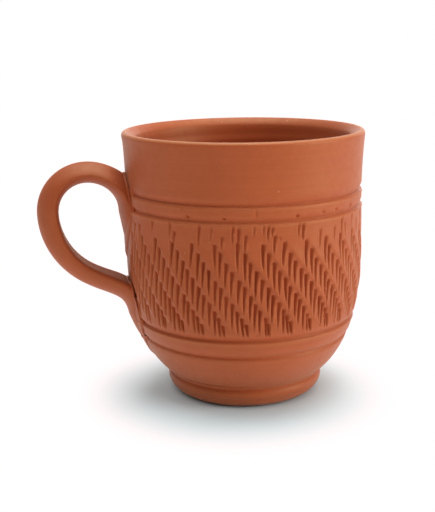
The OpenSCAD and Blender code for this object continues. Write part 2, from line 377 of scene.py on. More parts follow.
# Carved band: a springy tool chatters along a rising spiral, and its strokes line up in diagonal furrows.
# Tops, lows and starts are pairs: a level, and the distance over which something fades there.
FRONT = 258
HANDLE = 180
BAND_TOP = (67.4 * MM, 0.8 * MM)
BAND_LOW = (29.9 * MM, 1.2 * MM)
SPACING = 10.51
PHASE = 268.6
PHASE_TURN = 6.0
PHASE_DRIFT = 0.1
SPIRAL_START = 32.4 * MM
SPIRAL_RISE = 2.25 * MM
SPIRAL_OPENING = 0.036 * MM
STROKE_TURNS = (0.85, 11.45)
STROKE_LENGTH = 9.2 * MM
STROKE_HALF_W = 1.2 * MM
STROKE_DEPTH = 1.05 * MM
STROKE_SLANT = 0.2
STROKE_HEAD = 0.05
STROKE_REACH = 5 * MM
STROKE_LEAN = -1
LOW_LEAN = 15
LOW_TURNS = 4
FIRST_LEAN = -2
SLOT_W = 0.25 * MM
SLOT_SHARE = 0.15
SLOT_TOP = 1.1
SLOT_TAPER = 0.1
SLOT_RISE = 0.25
MOUTH = 1.4
FUNNEL_W = 1.6
FUNNEL_END = 0.42
FUNNEL_DEPTH = 0.35
FUNNEL_CURVE = 1.3
BURR_T = 0.1 * MM
BURR_W = 0.28 * MM
BURR_START = (0.15, 0.3)
TINY = 1e-7
FURROW_COUNT = 34
FURROW_LEAN = 35 * DEG
FURROW_MID_Z = 48.5 * MM
FURROW_HALF_W = 2.6 * MM
FURROW_DEPTH = 0.26 * MM
FURROW_TOP = (62 * MM, 5 * MM)
FURROW_LOW = (31 * MM, 4 * MM)
RIDGE_T = 0.1 * MM
RIDGE_W = 0.4 * MM

# Spread of a stroke's angle, height, length, width, depth and lean
STROKE_SPREAD = (0.2, 0.2 * MM, 0.06, 0.08, 0.1, 1.5)

# Sides that the front doesn't show: first and last angle, and degrees from stroke to stroke
UNSEEN = (FRONT + 74, FRONT + 308, 5.6)

# Long strokes where the tool first touched: angle from the front, top, length, half width and depth in mm
FIRST_STROKES = (
    (-46, 66.8, 4.2, 0.7, 0.55), (-34.9, 67.1, 5.2, 0.6, 0.6), (-32.7, 64.5, 5.8, 1.0, 0.7),
    (-19.9, 67.1, 7.4, 0.6, 0.7), (-14.4, 66.4, 4.5, 0.7, 0.3), (-9.6, 63.9, 4.4, 0.8, 0.55),
    (-4.7, 67.2, 6.2, 0.55, 0.6), (-2.3, 66.6, 11.8, 0.85, 0.7), (0.7, 64.3, 6.4, 1.1, 0.65),
    (4.5, 66.9, 3.2, 0.7, 0.35), (8.7, 67.0, 3.0, 0.5, 0.4), (10.8, 67.3, 5.4, 0.55, 0.65),
    (12.6, 66.6, 3.4, 0.6, 0.55), (13.6, 63.9, 6.4, 1.0, 0.75), (24.9, 67.1, 4.8, 0.5, 0.45),
    (27.2, 67.0, 6.0, 1.05, 0.75), (36.4, 64.4, 7.2, 0.6, 0.5), (45.5, 64.4, 5.4, 0.6, 0.5),
    (51.0, 66.8, 6.6, 0.75, 0.7), (53.8, 64.6, 5.0, 0.75, 0.55), (60.3, 66.9, 5.4, 0.75, 0.6),
    (66.0, 64.6, 5.4, 0.8, 0.6),
)


def round_from(angle, middle):
    """Distance round the belly from a middle angle, positive towards growing angles."""
    return ((angle - middle + 180) % 360 - 180) * DEG * BELLY_R


def stroke_height(turn):
    """Height of a stroke's top after some turns of the spiral, which opens upwards."""
    return SPIRAL_START + SPIRAL_RISE * turn + SPIRAL_OPENING * turn ** 2


def stroke_list():
    """Every stroke as angle, top height, length, half width, depth and lean."""
    rng = np.random.default_rng(7)
    strokes = []
    first = ceil((STROKE_TURNS[0] - PHASE_TURN) * 360 / SPACING)
    final = floor((STROKE_TURNS[1] - PHASE_TURN) * 360 / SPACING)
    for k in range(first, final + 1):
        turn = PHASE_TURN + k * SPACING / 360
        drift = -PHASE_DRIFT * min(0, turn - PHASE_TURN) ** 2
        spread = rng.normal(0, 1, 6) * STROKE_SPREAD
        angle = PHASE + k * SPACING + drift + spread[0]
        top = stroke_height(turn) + spread[1]
        length = STROKE_LENGTH * (1 + spread[2])
        half_w = STROKE_HALF_W * (1 + spread[3])
        depth = STROKE_DEPTH * max(0.5, 1 + spread[4])
        lean = STROKE_LEAN + LOW_LEAN * ease((LOW_TURNS - turn) / LOW_TURNS) + spread[5]
        strokes.append((angle, top, length, half_w, depth, lean))
    for offset, top, length, half_w, depth in FIRST_STROKES:
        strokes.append((FRONT + offset, top * MM, length * MM, half_w * MM, depth * MM, FIRST_LEAN))
    # The same start goes on round the unseen sides, with tops, lengths, half widths and depths in mm
    for angle in np.arange(*UNSEEN):
        top, length = rng.choice((66.9, 64.4)), rng.uniform(4, 8)
        half_w, depth, place = rng.uniform(0.55, 1.0), rng.uniform(0.4, 0.75), rng.uniform(-2, 2)
        strokes.append((angle + place, top * MM, length * MM, half_w * MM, depth * MM, FIRST_LEAN))
    return strokes


def stroke_cut(across, along, length, half_w, depth):
    """Depth of one gouge, a slim slot with a wide mouth on the right of its top, and its burr's height."""
    u = (along - STROKE_SLANT * across) / length
    inside = (u > 0) & (u < 1)
    u = np.clip(u, 0, 1)
    step = ease(u / STROKE_HEAD)
    v = np.clip((u - STROKE_HEAD) / (1 - STROKE_HEAD), 0, 1)
    slot_w = (SLOT_W + SLOT_SHARE * half_w) * (SLOT_TOP - SLOT_TAPER * v) * (1 - v ** 6) + TINY
    early = np.maximum(1 - v / FUNNEL_END, 0)
    wall = np.where(across > 0, slot_w * (1 + MOUTH * early), slot_w)
    slot = depth * step * (1 - SLOT_RISE * v) * (1 - v ** 5) * np.maximum(1 - (across / wall) ** 2, 0)
    funnel_w = FUNNEL_W * half_w * early ** 0.7 + TINY
    funnel = FUNNEL_DEPTH * depth * step * early ** 0.5 * np.maximum(1 - across / funnel_w, 0) ** FUNNEL_CURVE
    cut = np.maximum(slot, np.where(across > 0, funnel, 0))
    beside = (np.abs(across) - slot_w - BURR_W) / BURR_W
    burr = BURR_T * rises(v, *BURR_START) * (1 - v ** 3) * np.exp(-beside ** 2)
    return np.where(inside, cut, 0), np.where(inside, burr, 0)


def furrow_cut(angle, z):
    """Depth of the shallow diagonal furrows that the strokes lie in, with a ridge along their upper side."""
    slope = degrees(tan(FURROW_LEAN) / BELLY_R)
    pitch = 360 / FURROW_COUNT
    off = (angle + (z - FURROW_MID_Z) * slope + pitch / 2) % pitch - pitch / 2
    side = off * DEG * BELLY_R * cos(FURROW_LEAN)
    ends = falls(z, *FURROW_TOP) * rises(z, *FURROW_LOW)
    hollow = FURROW_DEPTH * np.maximum(1 - (side / FURROW_HALF_W) ** 2, 0)
    return ends * (hollow - RIDGE_T * np.exp(-((side - FURROW_HALF_W) / RIDGE_W) ** 2))


# Wiped clay that hides the strokes: its tops, reach below a tail and beside a root, and how it fades
COVER_TOPS = (79 * MM, 44 * MM)
COVER_TOP_FADE = 8 * MM
COVER_LENGTH = 1.15
COVER_DROP = 1.5 * MM
COVER_W = 2.6 * MM
COVER_FADE = 2.4 * MM
COVER_NONE = 9 * MM

# Rounding of a root's section, seen where the wall cuts it
ROOT_ROUND = 1.6
ROOT_SIDE = 0.62


def root_half_w(share):
    """Half the width of a root at a share of the way down its tail."""
    return (ROOT_W - (ROOT_W - TAIL_TIP_W) * share ** 2) / 2


def root_cover(angle, z):
    """How far the wiped clay round the handle's roots hides the strokes, from 0 to 1."""
    half = np.full_like(z, -COVER_NONE)
    for (high, low, *_), top in zip(ROOTS, COVER_TOPS):
        width = root_half_w(np.clip((high - z) / (high - low), 0, COVER_LENGTH))
        fade = falls(z, top, COVER_TOP_FADE)
        inside = (z > low - COVER_DROP) & (z < top)
        half = np.where(inside, np.maximum(half, width * fade - COVER_NONE * (1 - fade)), half)
    half = np.where((z > LOWER_TAIL_Z) & (z < CROWN_Z), np.maximum(half, ROOT_GAP_HALF_W), half)
    return falls(np.abs(round_from(angle, HANDLE)), half + COVER_W, COVER_FADE)


def root_edge(angle, z):
    """Distance outside the outline of the nearer handle root on the wall, negative inside it."""
    along = np.abs(round_from(angle, HANDLE))
    nearest = np.full_like(z, 1.0)
    for middle, low, top, proud, half_t in ROOTS:
        sink, tip_sink = half_t - proud, half_t + TIP_COVER
        u = np.clip((middle - z) / (middle - low), 0, 1)
        buried = np.clip((sink + (tip_sink - sink) * u) / half_t, 0, 1)
        half = root_half_w(u) * (1 - buried ** ROOT_ROUND) ** ROOT_SIDE
        arch = np.hypot(along / half.max(), np.maximum(z - middle, 0) / (top - middle))
        side = np.where(z > middle, (arch - 1) * half.max(), along - half)
        side = np.where(z < low, np.hypot(along, z - low), side)
        nearest = np.minimum(nearest, side)
    return nearest


def carve(angle, z):
    """Depth of the carved band, then how deep in a stroke and how high on a burr each place is, 0 to 1."""
    cut = np.zeros_like(z)
    burr = np.zeros_like(z)
    for mid, top, length, half_w, depth, lean in stroke_list():
        side = round_from(angle, mid)
        down = top - z
        near = (np.abs(side) < STROKE_REACH) & (down > -MM) & (down < length + MM)
        side, down = side[near], down[near]
        along = side * sin(lean * DEG) + down * cos(lean * DEG)
        across = side * cos(lean * DEG) - down * sin(lean * DEG)
        gouge, raised = stroke_cut(across, along, length, half_w, depth)
        cut[near] = np.maximum(cut[near], gouge)
        burr[near] = np.maximum(burr[near], raised)
    keep = falls(z, *BAND_TOP) * rises(z, *BAND_LOW) * (1 - root_cover(angle, z))
    burr = burr * (1 - np.clip(cut / BURR_T, 0, 1))
    depth = (cut - burr + furrow_cut(angle, z)) * keep
    return depth, np.clip(cut * keep / STROKE_DEPTH, 0, 1), burr * keep / BURR_T


# Pits and nicks in the skin: angle from the front, then height, half width, half height and depth in mm
PITS = (
    (-25.5, 69.4, 0.5, 0.4, 0.7), (-8.4, 69.3, 0.5, 0.35, 0.6), (24.5, 69.4, 0.5, 0.45, 0.9),
    (38.5, 69.6, 0.45, 0.45, 0.6), (47.1, 69.7, 0.5, 0.45, 0.65), (59.3, 69.7, 0.55, 0.6, 0.6),
    (5.5, 70.9, 0.4, 1.3, 0.3), (16, 62.6, 0.45, 0.4, 0.4), (-63.9, 68.3, 0.5, 0.6, 1.1),
    (-28, 71.8, 0.4, 0.3, 0.5), (-66.3, 51.8, 0.55, 1.9, 1.4), (-68.2, 37.4, 0.55, 1.1, 1.5),
    (-67.3, 35.7, 0.55, 1.1, 1.5), (-66.4, 34.1, 0.55, 1.1, 1.3), (5.9, 30.6, 0.9, 0.35, 0.3),
    (95, 70.3, 0.6, 0.5, 0.4), (141, 69.2, 0.5, 0.6, 0.4),
    (188, 69.8, 0.6, 0.5, 0.4), (230, 70.6, 0.5, 0.8, 0.4),
)


def pit_cut(angle, z):
    cut = np.zeros_like(z)
    for offset, height, half_w, half_h, depth in PITS:
        side = round_from(angle, FRONT + offset)
        far = (side / (half_w * MM)) ** 2 + ((z - height * MM) / (half_h * MM)) ** 2
        cut += depth * MM * np.exp(-far)
    return cut


# Clay wiped over from the handle's roots: height beside the tails, width, reach in the grooves, and levels
PAD_T = 0.7 * MM
PAD_W = 3.2 * MM
PAD_FILL = (3.0 * MM, 1.2 * MM)
UPPER_PAD_TOP = (72 * MM, 8 * MM)
UPPER_PAD_LOW = (46 * MM, 4 * MM)
LOWER_PAD_TOP = (37 * MM, 6 * MM)

# Unevenness of the outside, throwing rings inside, and the edge that the carving tears under the cordon
UNEVEN_T = (0.05 * MM, 0.04 * MM)
UNEVEN_H = (9 * MM, 13 * MM)
RING_T = 0.14 * MM
RING_PITCH = 4.6 * MM
RING_FADE = 6 * MM
RING_FROM_Z = FLOOR_Z + 3 * MM
TORN_T = 0.06 * MM
TORN_Z = CORDON_GROOVE_Z - 1.25 * MM
TORN_W = 0.5 * MM

# Depth to which places count as outside, margin at the base, and how much closer columns lie at the front
OUTSIDE_DEPTH = 1.4 * MM
EDGE_NEAR = 0.1 * MM
FRONT_CLOSE = 0.4

# Depth at which a pit's painted shade is full, paler part of the lip (painted highlight with some wear), and
# shares of painted highlight on the grooves' lips and the burrs
PIT_FULL_SHADE = 0.4 * MM
PALE_LIP_Z = (CUP_H - 0.9 * MM, 0.6 * MM)
PALE_LIP_R = (LIP_CREST_R - 0.3 * MM, 0.4 * MM)
LEDGE_HIGHLIGHT = 0.5
BURR_HIGHLIGHT = 0.4


def uneven(angle, z):
    """How far the outside strays from a true round, in two slow waves."""
    turn = angle * DEG
    first = UNEVEN_T[0] * np.sin(3 * turn + 1.3 + z / UNEVEN_H[0])
    return first + UNEVEN_T[1] * np.sin(5 * turn - z / UNEVEN_H[1])


def throwing_rings(angle, z):
    """Rings that climb the inside as one spiral and fade out under the lip."""
    rings = RING_T * np.sin(2 * pi * (z / RING_PITCH + angle / 360))
    return rings * falls(z, LIP_INSIDE_Z, RING_FADE)


def wiped_clay(angle, z):
    """Clay wiped off the handle's roots: it fills the grooves' ends and swells the wall beside the tails."""
    edge = root_edge(angle, z)
    fill = groove_cut(z) * falls(edge, *PAD_FILL)
    upper = falls(z, *UPPER_PAD_TOP) * rises(z, *UPPER_PAD_LOW)
    return fill + PAD_T * np.maximum(upper, falls(z, *LOWER_PAD_TOP)) * ease(1 - edge / PAD_W)


def torn_edge(angle, z):
    """How far the band's upper edge, under the cordon, is torn out and in by the carving."""
    turn = angle * DEG
    wave = np.sin(19 * turn) + 0.7 * np.sin(43 * turn + 1) + 0.5 * np.sin(71 * turn + 2)
    return TORN_T * wave * np.exp(-((z - TORN_Z) / TORN_W) ** 2)


def thrown_body():
    """The cup on its wheel: five spun strips made one skin, then carved by hand, with masks of painted shade
    in its cuts and pits and of painted highlight, partly wear, on its edges.
    """
    outlines = body_strips()
    strips = [spin_outline("strip", o, n) for o, n in zip(outlines, COLUMNS)]
    piece = join_strips("thrown_body", strips)
    bridge_rings(piece, [(a[-1], b[0]) for a, b in zip(outlines, outlines[1:])])

    points = read_points(piece)
    radius = np.hypot(points[:, 0], points[:, 1])
    angle = np.degrees(np.arctan2(points[:, 1], points[:, 0])) % 360
    # The columns of the mesh are drawn closer together towards the front, for the carving there
    angle = angle - degrees(FRONT_CLOSE) * np.sin((angle - FRONT) * DEG)
    points[:, 0] = radius * np.cos(angle * DEG)
    points[:, 1] = radius * np.sin(angle * DEG)
    z = points[:, 2]
    outer = (z > BASE_Z + EDGE_NEAR) & (radius > wall_radius(z) - OUTSIDE_DEPTH) & (z < RIM_Z)
    hollow = (~outer) & (z > RING_FROM_Z) & (z < LIP_INSIDE_Z)
    part_r, part_z = wall_normal(z)
    strokes, stroke_shade, burrs = (np.where(outer, part, 0) for part in carve(angle, z))
    pits = np.where(outer, pit_cut(angle, z), 0)
    skin = wiped_clay(angle, z) + torn_edge(angle, z) - SETTLE - uneven(angle, z)
    move = np.where(outer, skin, 0) - strokes - pits + np.where(hollow, throwing_rings(angle, z), 0)
    push_out(points, move * part_r, radius)
    points[:, 2] += np.where(outer, move * part_z, 0)
    seat = (radius > SEAT_R - EDGE_NEAR) & (z < FLOOR_Z)
    push_out(points, np.where(outer | seat, fuller(z), 0), radius)
    write_points(piece, points)
    # Painted shade: strokes and pits are darkened by how deep they are
    add_mask(piece, "cut", np.clip(stroke_shade + pits / PIT_FULL_SHADE, 0, 1))
    # Painted highlight, with some wear on the lip: paler lip top, lips thrown up under the grooves, and burrs
    lip = rises(z, *PALE_LIP_Z) * rises(radius, *PALE_LIP_R)
    ledge = np.where(outer, np.clip(-groove_cut(z) / GROOVE_LIP, 0, 1), 0)
    add_mask(piece, "wear_and_highlight", np.clip(lip + LEDGE_HIGHLIGHT * ledge + BURR_HIGHLIGHT * burrs, 0, 1))
    shade_smooth(piece)
    return piece


# Pulled handle, as in the part's source
GRIP_ROOM = 23 * MM
STRAP_T = 7.3 * MM
HEEL_T = 6.7 * MM
STRAP_W = 12 * MM
CROWN_Z = 66.6 * MM
CROWN_R = 9.8 * MM
HEEL_R = 22 * MM
HEEL_TURN = 60 * DEG
LOWER_ROOT_Z = 30 * MM
ROOT_W = 17.5 * MM
UPPER_PROUD = 2.6 * MM
LOWER_PROUD = 2.1 * MM
UPPER_TAIL_Z = 52 * MM
LOWER_TAIL_Z = 15.5 * MM
TAIL_TIP_W = 9 * MM
TIP_COVER = 0.35 * MM
ROOT_PULL = 0.46

# Both roots on the wall: middle, tip of the tail, top, height over the wall and half thickness
ROOTS = (
    (CROWN_Z, UPPER_TAIL_Z, 79 * MM, UPPER_PROUD, STRAP_T / 2),
    (LOWER_ROOT_Z, LOWER_TAIL_Z, 43 * MM, LOWER_PROUD, HEEL_T / 2),
)

# Half the width of the uncarved wall between them
ROOT_GAP_HALF_W = 5 * MM

# Section of the strap on its crown and heel: rounding, how far its edge lies inside, and the pressed joint
CROWN_POWER = 1.4
HEEL_POWER = 1.0
CROWN_EDGE = 0.12
HEEL_EDGE = 0.62
JOINT_SWELL = 0.55 * MM

# Stations along a tail, half the crown, the heel and the lower stretch, and points round the strap
TAIL_STATIONS = 16
CROWN_STATIONS = 30
HEEL_STATIONS = 28
ROOT_STATIONS = 24
STRAP_POINTS = 56

# Mesh of the strap's seat on the wall, and the angle past which the strap's edges stay sharp
SEAT_ROWS = 90
SEAT_COLUMNS = 360
STRAP_CREASE = 50 * DEG

# Painted shade on the inner face, which looks up at the crown and towards the cup: station where it starts,
# where and how it deepens, and its place on the section
FACE_START = (26, 12)
FACE_FAINT = 0.25
FACE_DEEP = (62, 24)
FACE_EDGE = (0.1, 0.2)

# Painted shadow of the cup's wall on the upper joint, in streaks
JOINT_SHADE = 0.35
JOINT_REACH = (6.5 * MM, 3.5 * MM)
JOINT_LOW = (CROWN_Z, 4 * MM)
JOINT_OUTSIDE = (-0.3, 0.4)
STREAK_W = 0.45 * MM
STREAK_RUN = 2 * MM


def tail_path(root_z, tail_z, sink, tip_sink, shares):
    """Places along a tail, which sinks into the wall from its root, share 0, to its tip, share 1."""
    return [wall_place(root_z - (root_z - tail_z) * u, sink + (tip_sink - sink) * u) for u in shares]


def arc_path(middle, reach, rise, start, end, count):
    """Places round an arc of the loop, without its end."""
    a = start + (end - start) * np.arange(count) / count
    return list(np.column_stack([middle + reach * np.cos(a), CROWN_Z + rise * np.sin(a)]))


def handle_stations(tail, crown, heel, root):
    """Middle line of the strap as distance and height, with the sizes of its section at each station."""
    half = STRAP_T / 2
    half_heel = HEEL_T / 2
    upper_sink, lower_sink = half - UPPER_PROUD, half_heel - LOWER_PROUD
    upper_tip, lower_tip = half + TIP_COVER, half_heel + TIP_COVER
    crown_wall = float(wall_radius(CROWN_Z))
    loop_far = crown_wall + GRIP_ROOM
    crown_d, heel_d = loop_far - CROWN_R, loop_far - HEEL_R
    crown_mid, heel_mid = CROWN_R + half, HEEL_R + half
    crown_near = crown_d - crown_wall + upper_sink

    path = tail_path(CROWN_Z, UPPER_TAIL_Z, upper_sink, upper_tip, [1 - i / tail for i in range(tail)])
    path += arc_path(crown_d, crown_near, crown_mid, pi, pi / 2, crown)
    path += arc_path(crown_d, crown_mid, crown_mid, pi / 2, 0, crown)
    path += arc_path(heel_d, heel_mid, heel_mid, 0, -HEEL_TURN, heel)
    heel_end = np.array([heel_d + heel_mid * cos(HEEL_TURN), CROWN_Z - heel_mid * sin(HEEL_TURN)])
    heel_way = np.array([-sin(HEEL_TURN), -cos(HEEL_TURN)])
    root_end = wall_place(LOWER_ROOT_Z, lower_sink)
    part_r, part_z = wall_normal(LOWER_ROOT_Z)
    root_way = np.array([part_z, -part_r])
    pull = ROOT_PULL * np.linalg.norm(heel_end - root_end)
    bend = (heel_end, heel_end + pull * heel_way, root_end - pull * root_way, root_end)
    for i in range(root):
        t = i / root
        weights = ((1 - t) ** 3, 3 * t * (1 - t) ** 2, 3 * t * t * (1 - t), t ** 3)
        path.append(sum(w * p for w, p in zip(weights, bend)))
    shares = [i / tail for i in range(tail + 1)]
    path += tail_path(LOWER_ROOT_Z, LOWER_TAIL_Z, lower_sink, lower_tip, shares)
    path = np.array(path)
    last = len(path) - 1
    i = np.arange(last + 1)
    low = last - tail
    tip = np.where(i < tail, 1 - i / tail, np.where(i > low, (i - low) / tail, 0))
    near = np.maximum(ease(1 - (i - tail) / crown), ease(1 - (low - i) / root))
    near = np.where((i < tail) | (i > low), 1, near)
    width = STRAP_W + (ROOT_W - STRAP_W) * near - (ROOT_W - TAIL_TIP_W) * tip ** 2
    half_t = half + (half_heel - half) * ease((i - tail - 2 * crown) / heel)
    # Sharp front edge on the crown, a rounder strap with its edge near the inside further down
    down = ease((i - tail - 1.1 * crown) / (1.3 * crown))
    power = CROWN_POWER + (HEEL_POWER - CROWN_POWER) * down
    edge = CROWN_EDGE + (HEEL_EDGE - CROWN_EDGE) * down
    # The strap is pressed fuller where its crown runs down to the wall
    swell = JOINT_SWELL * ease((i - tail - 2) / 8) * ease((tail + 0.8 * crown - i) / (0.5 * crown))
    return path, width, half_t, power, edge, swell


def path_way(path):
    """Direction of the strap's middle line at each station."""
    way = np.gradient(path, axis=0)
    return way / np.linalg.norm(way, axis=1)[:, None]


def strap_rings(stations, count):
    """Rings of points round the strap, one for each station."""
    path, width, half_t, power, edge, swell = stations
    way = path_way(path)
    out = np.column_stack([-way[:, 1], way[:, 0]])
    a = 2 * pi * np.arange(count) / count

    def soft(v):
        return np.sign(v)[None, :] * np.abs(v)[None, :] ** power[:, None]

    rise = soft(np.sin(a))
    across = (width / 2)[:, None] * soft(np.cos(a))
    away = half_t[:, None] * (rise - edge[:, None] * (1 - rise ** 2))
    away += swell[:, None] * np.maximum(rise, 0)
    place = path[:, None, :] + away[:, :, None] * out[:, None, :]
    return np.stack([-place[:, :, 0], across, place[:, :, 1]], axis=2)


def loft(name, rings):
    """A ring of edges extruded from station to station and closed at both ends."""
    count = rings.shape[1]
    deselect_all()
    bpy.ops.mesh.primitive_circle_add(vertices=count, radius=MM, fill_type="NGON")
    piece = bpy.context.object
    piece.name = name
    bpy.ops.object.mode_set(mode="EDIT")
    bpy.ops.mesh.select_all(action="SELECT")
    graph = bmesh.from_edit_mesh(piece.data)
    for vert, place in zip(graph.verts, rings[0]):
        vert.co = place
    for ring in rings[1:]:
        bpy.ops.mesh.extrude_region_move()
        graph = bmesh.from_edit_mesh(piece.data)
        moved = [v for v in graph.verts if v.select]
        for vert, place in zip(moved, ring):
            vert.co = place
    bmesh.update_edit_mesh(piece.data)
    turn_outwards()
    return piece


def seat_solid():
    """The wall's outside and its layer of slip, as a filled solid."""
    places = list(wall_place(np.linspace(BASE_Z, RIM_Z, SEAT_ROWS), -SLIP_T))
    return spin_solid("seat", [(0, BASE_Z)] + places + [(0, RIM_Z)], SEAT_COLUMNS)


def cut_away(piece, tool):
    """Cuts a tool's shape out of a piece, and deletes the tool."""
    modifier = piece.modifiers.new("cut", "BOOLEAN")
    modifier.operation = "DIFFERENCE"
    modifier.solver = "MANIFOLD"
    modifier.object = tool
    make_active(piece)
    bpy.ops.object.modifier_apply(modifier=modifier.name)
    mesh = tool.data
    bpy.data.objects.remove(tool)
    bpy.data.meshes.remove(mesh)


def inner_face(points, stations):
    """Mask of painted shade: on the strap's inner face, deeper further down, and in streaks where the upper
    joint meets the wall.
    """
    path, _, half_t, _, edge, _ = stations
    way = path_way(path)
    flat = np.column_stack([-points[:, 0], points[:, 2]])
    near = np.linalg.norm(flat[:, None, :] - path[None, :, :], axis=2).argmin(axis=1)
    off = flat - path[near]
    away = (off[:, 1] * way[near, 0] - off[:, 0] * way[near, 1]) / half_t[near]
    share = rises(near, *FACE_START) * (FACE_FAINT + (1 - FACE_FAINT) * rises(near, *FACE_DEEP))
    # Painted shade on the inner face
    face = share * rises(-away - edge[near], *FACE_EDGE)
    gap = np.hypot(points[:, 0], points[:, 1]) - wall_radius(points[:, 2])
    streaks = 0.75 + 0.25 * np.sin(points[:, 1] / STREAK_W + gap / STREAK_RUN)
    # Painted shadow of the cup's wall near the upper joint
    joint = falls(gap, *JOINT_REACH) * rises(points[:, 2], *JOINT_LOW) * rises(away, *JOINT_OUTSIDE)
    return np.clip(face + JOINT_SHADE * joint * streaks, 0, 1)


def pulled_handle():
    """The strap, cut to the outside of the slip on the wall, with a mask of painted shade on its inner face
    and upper joint.
    """
    stations = handle_stations(TAIL_STATIONS, CROWN_STATIONS, HEEL_STATIONS, ROOT_STATIONS)
    piece = loft("pulled_handle", strap_rings(stations, STRAP_POINTS))
    cut_away(piece, seat_solid())
    add_mask(piece, "cut", inner_face(read_points(piece), stations))
    make_active(piece)
    bpy.ops.object.shade_smooth_by_angle(angle=STRAP_CREASE)
    return piece


# Slip squeezed out round the roots: height where a bead is full, height where it is thin, and its radius
UPPER_BEAD = (74 * MM, 69 * MM, 0.6 * MM)
LOWER_BEAD = (41 * MM, 34 * MM, 0.4 * MM)
THIN_BEAD_R = 0.12 * MM
BEAD_POINTS = 90
SEAT_NEAR = 0.03 * MM
LEAST_LOOP = 40


def seat_loops(piece):
    """The handle's two closed edges on the wall, as lists of points in order from the highest one."""
    graph = bmesh.new()
    graph.from_mesh(piece.data)

    def on_seat(x, y, z):
        away = (hypot(x, y) - float(wall_radius(z))) * wall_normal(z)[0]
        return abs(away - SLIP_T) <= SEAT_NEAR

    seat = {face for face in graph.faces if all(on_seat(*vert.co) for vert in face.verts)}
    links = {}
    for edge in graph.edges:
        if sum(face in seat for face in edge.link_faces) == 1:
            first, second = (tuple(vert.co) for vert in edge.verts)
            links.setdefault(first, []).append(second)
            links.setdefault(second, []).append(first)
    graph.free()
    loops = []
    while links:
        place = max(links, key=lambda place: (round(place[2], 6), round(place[1], 6)))
        loop = []
        while place in links:
            loop.append(place)
            ways = links.pop(place)
            place = max((way for way in ways if way in links), key=lambda way: way[1], default=None)
        loops.append(np.array(loop))
    return [loop for loop in loops if len(loop) > LEAST_LOOP]


def slip_bead(name, loop, high, low, bead_r):
    """A roll of slip along one root's edge, thick round its upper end and thin beside the tail."""
    steps = np.linalg.norm(np.roll(loop, -1, axis=0) - loop, axis=1)
    way = np.concatenate([[0], np.cumsum(steps)])
    closed = np.vstack([loop, loop[:1]])
    at = np.linspace(0, way[-1], BEAD_POINTS, endpoint=False)
    points = np.column_stack([np.interp(at, way, closed[:, k]) for k in range(3)])
    turn = 2 * pi * at / way[-1]
    lumps = 1 + 0.16 * np.sin(7 * turn) + 0.1 * np.sin(17 * turn + 1)
    thick = THIN_BEAD_R + (bead_r - THIN_BEAD_R) * ease((points[:, 2] - low) / (high - low)) * lumps
    curve = bpy.data.curves.new(name, "CURVE")
    curve.dimensions = "3D"
    curve.bevel_depth = 1
    curve.bevel_resolution = 3
    spline = curve.splines.new("POLY")
    spline.points.add(BEAD_POINTS - 1)
    for point, place, radius in zip(spline.points, points, thick):
        point.co = (*place, 1)
        point.radius = radius
    spline.use_cyclic_u = True
    make_active(add_object(name, curve))
    bpy.ops.object.convert(target="MESH")
    piece = bpy.context.object
    shade_smooth(piece)
    return piece


# Foot under the bowl
FOOT_SEGMENTS = 240
FOOT_EDGE_R = 0.6 * MM


def turned_foot():
    round_r = FOOT_H - FOOT_EDGE_R
    flat_r = FOOT_R - round_r
    outline = [(flat_r * i / 30, 0) for i in range(30)]
    outline += arc((flat_r, round_r), round_r, -90 * DEG, 0, 20)
    outline += arc((FOOT_R - FOOT_EDGE_R, FOOT_H - FOOT_EDGE_R), FOOT_EDGE_R, 0, 90 * DEG, 6, 1)
    outline += [(SEAT_R * (1 - i / 4), FOOT_H) for i in range(5)]
    piece = spin_solid("turned_foot", outline, FOOT_SEGMENTS)
    shade_smooth(piece)
    return piece


# Slip under the bowl, wiped to a soft shoulder over the foot's upper edge and a fillet up the bowl
SHOULDER_FROM = (-0.21 * MM, -2.2 * MM)
SHOULDER_BEND = (0.42 * MM, -0.5 * MM)
SHOULDER_TO = (-0.6 * MM, 0.6 * MM)
SHOULDER_POINTS = 13
FILLET_UP = 2.2 * MM
FILLET_START = 0.15 * MM
FILLET_POINTS = 9

# Parts of the slip's outline that lie hidden: in the foot, in the bowl and under it
HIDDEN_FLAT = 1.2 * MM
HIDDEN_IN = 0.5 * MM
HIDDEN_DOWN = 0.8 * MM
HIDDEN_BOWL = 0.8 * MM
HIDDEN_SEAT_R = SEAT_R - 0.3 * MM


def bow(start, bend, end, count):
    """Points of a curve from start to end, drawn towards a bend."""
    t = np.linspace(0, 1, count)[:, None]
    return [tuple(place) for place in (1 - t) ** 2 * start + 2 * t * (1 - t) * bend + t * t * end]


def foot_luting():
    places = (SHOULDER_FROM, SHOULDER_BEND, SHOULDER_TO)
    start, bend, end = (np.array([FOOT_R + r, FOOT_H + z]) for r, z in places)
    # The fillet rises from the crease onto the bowl and is closed inside it
    top_z = BASE_Z + FILLET_UP
    low, middle, high = (wall_radius(z) + fuller(z) - SETTLE for z in (top_z - MM, top_z, top_z + MM))
    top = np.array([middle, top_z])
    rise = top_z - end[1] - FILLET_START
    turn = top - rise * np.array([(high - low) / (2 * MM), 1])
    outline = [(SEAT_R * i / 4, FOOT_H) for i in range(5)]
    outline += [(FOOT_R - HIDDEN_FLAT, FOOT_H), (FOOT_R - HIDDEN_IN, FOOT_H - HIDDEN_DOWN)]
    outline += bow(start, bend, end, SHOULDER_POINTS) + bow(end, turn, top, FILLET_POINTS)[1:]
    outline += [(top[0] - HIDDEN_BOWL, top[1])]
    outline += [(HIDDEN_SEAT_R * (1 - i / 4), BASE_Z) for i in range(5)]
    piece = spin_solid("foot_luting", outline, FOOT_SEGMENTS)
    shade_smooth(piece)
    return piece


# Materials
COLOUR = "NodeSocketColor"
NUMBER = "NodeSocketFloat"


def new_material(name):
    """A new material with its node tree and shader."""
    material = bpy.data.materials.new(name)
    material.use_nodes = True
    return material, material.node_tree, material.node_tree.nodes["Principled BSDF"]


